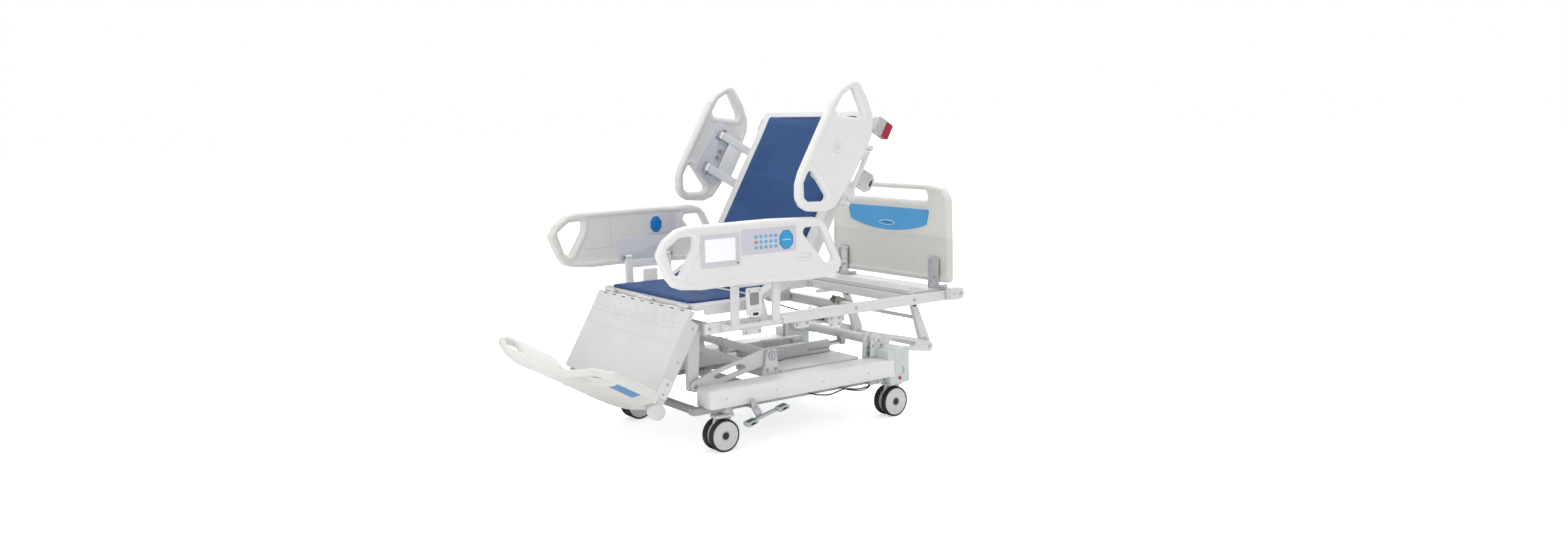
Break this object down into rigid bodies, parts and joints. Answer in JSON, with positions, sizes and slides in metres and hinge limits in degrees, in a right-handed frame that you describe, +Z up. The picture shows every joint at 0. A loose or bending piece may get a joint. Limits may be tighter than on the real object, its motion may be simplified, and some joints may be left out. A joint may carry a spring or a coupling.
{
  "type": "hospital bed",
  "caption": "Electric intensive-care bed in chair position: four-section deck on a parallel-arm lift, drop siderails, headboard, footboard and twin-wheel castors.",
  "frame": {"origin": "on the floor under the middle of the whole bed in its rest (chair) pose, which is the middle of its bounding box", "axes": "+X towards the head end, +Z up, -Y towards the side that carries the touch screen"},
  "size_m": [2.1483, 1.09, 1.6467],
  "materials": {
    "white_plastic": "satin moulded plastic, fine texture",
    "warm_white": "satin blow-moulded polyethylene",
    "white_steel": "white powder coat",
    "grey_steel": "grey powder coat",
    "pale_green": "satin moulded plastic",
    "blue_cover": "coated blue sheet with a fine grain",
    "light_blue": "semi-gloss inlay",
    "stainless": "brushed",
    "tyre": "black tread on white-grey wheel discs",
    "release_red": "red grip on a grey body",
    "screen": "glass-fronted, blank",
    "keypad_foil": "membrane foil",
    "dark_plastic": "dark moulded plastic"
  },
  "bodies": {
    "base": {"base_frame": "grey_steel", "base_cover_near": "white_plastic", "base_cover_far": "white_plastic", "base_centre_cover": "grey_steel", "power_box": "white_steel", "lift_motor_foot": "dark_plastic", "lift_motor_head": "dark_plastic"},
    "foot_arm": {"foot_lift_arm": "white_steel"},
    "upper_frame": {"upper_frame": "white_steel", "head_deck_plate": "white_steel", "control_box": "white_steel", "back_motor": "dark_plastic", "head_bumper_near": "white_plastic", "head_bumper_far": "white_plastic", "headboard_socket_near": "stainless", "headboard_socket_far": "stainless"},
    "head_arm": {"head_lift_arm": "white_steel"},
    "head_link": {"head_link": "white_steel"},
    "lift_rod_foot": {"lift_rod_foot": "stainless"},
    "lift_rod_head": {"lift_rod_head": "stainless"},
    "back_rod": {"back_rod": "stainless"},
    "thigh": {"thigh_section": "white_plastic", "thigh_pad": "blue_cover"},
    "hip": {"hip_section": "white_plastic", "hip_pad": "blue_cover"},
    "back": {"back_section": "white_plastic", "back_pad": "blue_cover"},
    "calf": {"calf_section": "white_plastic", "footboard": "warm_white", "foot_bumper_near": "white_plastic", "foot_bumper_far": "white_plastic"},
    "headboard": {"headboard": "warm_white", "headboard_inlay": "light_blue"},
    "swivel_foot_near": {"castor_fork_foot_near": "white_steel"},
    "wheel_foot_near": {"castor_wheel_foot_near": "tyre"},
    "swivel_head_near": {"castor_fork_head_near": "white_steel"},
    "wheel_head_near": {"castor_wheel_head_near": "tyre"},
    "brake_near": {"brake_pedal_near": "pale_green"},
    "foot_rail_arms_near": {"foot_rail_arms_near": "stainless"},
    "foot_rail_near": {"foot_rail_near": "white_plastic", "touch_screen": "screen", "keypad": "keypad_foil"},
    "head_rail_arms_near": {"head_rail_arms_near": "stainless"},
    "head_rail_near": {"head_rail_near": "white_plastic"},
    "foot_rail_latch_near": {"foot_rail_latch_near": "pale_green"},
    "head_rail_latch_near": {"head_rail_latch_near": "pale_green"},
    "cpr_near": {"cpr_handle_near": "release_red"},
    "swivel_foot_far": {"castor_fork_foot_far": "white_steel"},
    "wheel_foot_far": {"castor_wheel_foot_far": "tyre"},
    "swivel_head_far": {"castor_fork_head_far": "white_steel"},
    "wheel_head_far": {"castor_wheel_head_far": "tyre"},
    "brake_far": {"brake_pedal_far": "pale_green"},
    "foot_rail_arms_far": {"foot_rail_arms_far": "stainless"},
    "foot_rail_far": {"foot_rail_far": "warm_white"},
    "head_rail_arms_far": {"head_rail_arms_far": "stainless"},
    "head_rail_far": {"head_rail_far": "warm_white"},
    "foot_rail_latch_far": {"foot_rail_latch_far": "pale_green"},
    "head_rail_latch_far": {"head_rail_latch_far": "pale_green"},
    "cpr_far": {"cpr_handle_far": "release_red"}
  },
  "joints": [
    {"name": "hi_lo", "type": "hinge", "parent": "base", "child": "foot_arm", "pos_m": [-0.0095, 0, 0.385], "axis": [0, 1, 0], "range_deg": [-19, 35]},
    {"name": "upper_frame_level", "type": "hinge", "parent": "foot_arm", "child": "upper_frame", "pos_m": [-0.4145, 0, 0.29], "axis": [0, 1, 0], "range_deg": [-36, 36]},
    {"name": "head_lift", "type": "hinge", "parent": "base", "child": "head_arm", "pos_m": [0.5905, 0, 0.385], "axis": [0, 1, 0], "range_deg": [-36, 36]},
    {"name": "head_link_level", "type": "hinge", "parent": "head_arm", "child": "head_link", "pos_m": [0.9955, 0, 0.29], "axis": [0, 1, 0], "range_deg": [-36, 36]},
    {"name": "lift_rod_foot_slide", "type": "slide", "parent": "base", "child": "lift_rod_foot", "axis": [1, 0, 0], "range_m": [-0.032, 0.032]},
    {"name": "lift_rod_head_slide", "type": "slide", "parent": "base", "child": "lift_rod_head", "axis": [1, 0, 0], "range_m": [-0.032, 0.032]},
    {"name": "hip", "type": "hinge", "parent": "upper_frame", "child": "hip", "pos_m": [-0.1395, 0, 0.667], "axis": [0, 1, 0], "range_deg": [-5, 30]},
    {"name": "back", "type": "hinge", "parent": "hip", "child": "back", "pos_m": [0.14196, 0, 0.8295], "axis": [0, 1, 0], "range_deg": [-5, 30]},
    {"name": "back_rod_slide", "type": "slide", "parent": "upper_frame", "child": "back_rod", "axis": [1, 0, 0], "range_m": [-0.045, 0.01]},
    {"name": "thigh", "type": "hinge", "parent": "upper_frame", "child": "thigh", "pos_m": [-0.1395, 0, 0.667], "axis": [0, 1, 0], "range_deg": [0, 25]},
    {"name": "calf", "type": "hinge", "parent": "thigh", "child": "calf", "pos_m": [-0.4845, 0, 0.667], "axis": [0, 1, 0], "range_deg": [0, 60]},
    {"name": "headboard_lift", "type": "slide", "parent": "upper_frame", "child": "headboard", "axis": [0, 0, 1], "range_m": [0, 0.25]},
    {"name": "castor_swivel_foot_near", "type": "hinge", "parent": "base", "child": "swivel_foot_near", "pos_m": [-0.3095, -0.39, 0.1715], "axis": [0, 0, 1], "continuous": true},
    {"name": "castor_roll_foot_near", "type": "hinge", "parent": "swivel_foot_near", "child": "wheel_foot_near", "pos_m": [-0.3395, -0.39, 0.075], "axis": [0, 1, 0], "continuous": true},
    {"name": "castor_swivel_head_near", "type": "hinge", "parent": "base", "child": "swivel_head_near", "pos_m": [0.6905, -0.39, 0.1715], "axis": [0, 0, 1], "continuous": true},
    {"name": "castor_roll_head_near", "type": "hinge", "parent": "swivel_head_near", "child": "wheel_head_near", "pos_m": [0.6605, -0.39, 0.075], "axis": [0, 1, 0], "continuous": true},
    {"name": "brake_near", "type": "hinge", "parent": "base", "child": "brake_near", "pos_m": [-0.2195, -0.5, 0.2], "axis": [0, 1, 0], "range_deg": [-15, 15]},
    {"name": "foot_rail_near_drop", "type": "hinge", "parent": "upper_frame", "child": "foot_rail_arms_near", "pos_m": [-0.1945, -0.475, 0.57], "axis": [1, 0, 0], "range_deg": [0, 155]},
    {"name": "foot_rail_near_level", "type": "hinge", "parent": "foot_rail_arms_near", "child": "foot_rail_near", "pos_m": [-0.1945, -0.485, 0.8], "axis": [1, 0, 0], "range_deg": [-160, 5]},
    {"name": "head_rail_near_drop", "type": "hinge", "parent": "back", "child": "head_rail_arms_near", "pos_m": [0.4016, -0.475, 1.19921], "axis": [0.5, 0, 0.866], "range_deg": [0, 155]},
    {"name": "head_rail_near_level", "type": "hinge", "parent": "head_rail_arms_near", "child": "head_rail_near", "pos_m": [0.22406, -0.485, 1.30171], "axis": [0.5, 0, 0.866], "range_deg": [-160, 5]},
    {"name": "foot_rail_latch_near", "type": "hinge", "parent": "foot_rail_arms_near", "child": "foot_rail_latch_near", "pos_m": [-0.2345, -0.466, 0.73], "axis": [-1, 0, 0], "range_deg": [0, 12]},
    {"name": "head_rail_latch_near", "type": "hinge", "parent": "back", "child": "head_rail_latch_near", "pos_m": [0.39719, -0.46, 1.15557], "axis": [-0.5, 0, -0.866], "range_deg": [0, 12]},
    {"name": "cpr_near", "type": "hinge", "parent": "back", "child": "cpr_near", "pos_m": [0.51928, -0.455, 1.44304], "axis": [-0.5, 0, -0.866], "range_deg": [0, 20]},
    {"name": "castor_swivel_foot_far", "type": "hinge", "parent": "base", "child": "swivel_foot_far", "pos_m": [-0.3095, 0.39, 0.1715], "axis": [0, 0, 1], "continuous": true},
    {"name": "castor_roll_foot_far", "type": "hinge", "parent": "swivel_foot_far", "child": "wheel_foot_far", "pos_m": [-0.3395, 0.39, 0.075], "axis": [0, 1, 0], "continuous": true},
    {"name": "castor_swivel_head_far", "type": "hinge", "parent": "base", "child": "swivel_head_far", "pos_m": [0.6905, 0.39, 0.1715], "axis": [0, 0, 1], "continuous": true},
    {"name": "castor_roll_head_far", "type": "hinge", "parent": "swivel_head_far", "child": "wheel_head_far", "pos_m": [0.6605, 0.39, 0.075], "axis": [0, 1, 0], "continuous": true},
    {"name": "brake_far", "type": "hinge", "parent": "base", "child": "brake_far", "pos_m": [-0.2195, 0.5, 0.2], "axis": [0, 1, 0], "range_deg": [-15, 15]},
    {"name": "foot_rail_far_drop", "type": "hinge", "parent": "upper_frame", "child": "foot_rail_arms_far", "pos_m": [-0.1945, 0.475, 0.57], "axis": [-1, 0, 0], "range_deg": [0, 155]},
    {"name": "foot_rail_far_level", "type": "hinge", "parent": "foot_rail_arms_far", "child": "foot_rail_far", "pos_m": [-0.1945, 0.485, 0.8], "axis": [-1, 0, 0], "range_deg": [-160, 5]},
    {"name": "head_rail_far_drop", "type": "hinge", "parent": "back", "child": "head_rail_arms_far", "pos_m": [0.4016, 0.475, 1.19921], "axis": [-0.5, 0, -0.866], "range_deg": [0, 155]},
    {"name": "head_rail_far_level", "type": "hinge", "parent": "head_rail_arms_far", "child": "head_rail_far", "pos_m": [0.22406, 0.485, 1.30171], "axis": [-0.5, 0, -0.866], "range_deg": [-160, 5]},
    {"name": "foot_rail_latch_far", "type": "hinge", "parent": "foot_rail_arms_far", "child": "foot_rail_latch_far", "pos_m": [-0.2345, 0.466, 0.73], "axis": [1, 0, 0], "range_deg": [0, 12]},
    {"name": "head_rail_latch_far", "type": "hinge", "parent": "back", "child": "head_rail_latch_far", "pos_m": [0.39719, 0.46, 1.15557], "axis": [0.5, 0, 0.866], "range_deg": [0, 12]},
    {"name": "cpr_far", "type": "hinge", "parent": "back", "child": "cpr_far", "pos_m": [0.51928, 0.455, 1.44304], "axis": [0.5, 0, 0.866], "range_deg": [0, 20]}
  ],
  "couplings": [
    {"joint": "upper_frame_level", "follows": "hi_lo", "ratio": -1},
    {"joint": "head_lift", "follows": "hi_lo", "ratio": -1},
    {"joint": "head_link_level", "follows": "hi_lo", "ratio": 1},
    {"joint": "lift_rod_foot_slide", "follows": "hi_lo", "m_per_rad": -0.047},
    {"joint": "lift_rod_head_slide", "follows": "hi_lo", "m_per_rad": 0.047},
    {"joint": "back", "follows": "hip", "ratio": 1},
    {"joint": "back_rod_slide", "follows": "hip", "m_per_rad": -0.0725},
    {"joint": "foot_rail_near_level", "follows": "foot_rail_near_drop", "ratio": -1},
    {"joint": "head_rail_near_level", "follows": "head_rail_near_drop", "ratio": -1},
    {"joint": "foot_rail_far_level", "follows": "foot_rail_far_drop", "ratio": -1},
    {"joint": "head_rail_far_level", "follows": "head_rail_far_drop", "ratio": -1},
    {"joint": "brake_far", "follows": "brake_near", "ratio": 1}
  ]
}
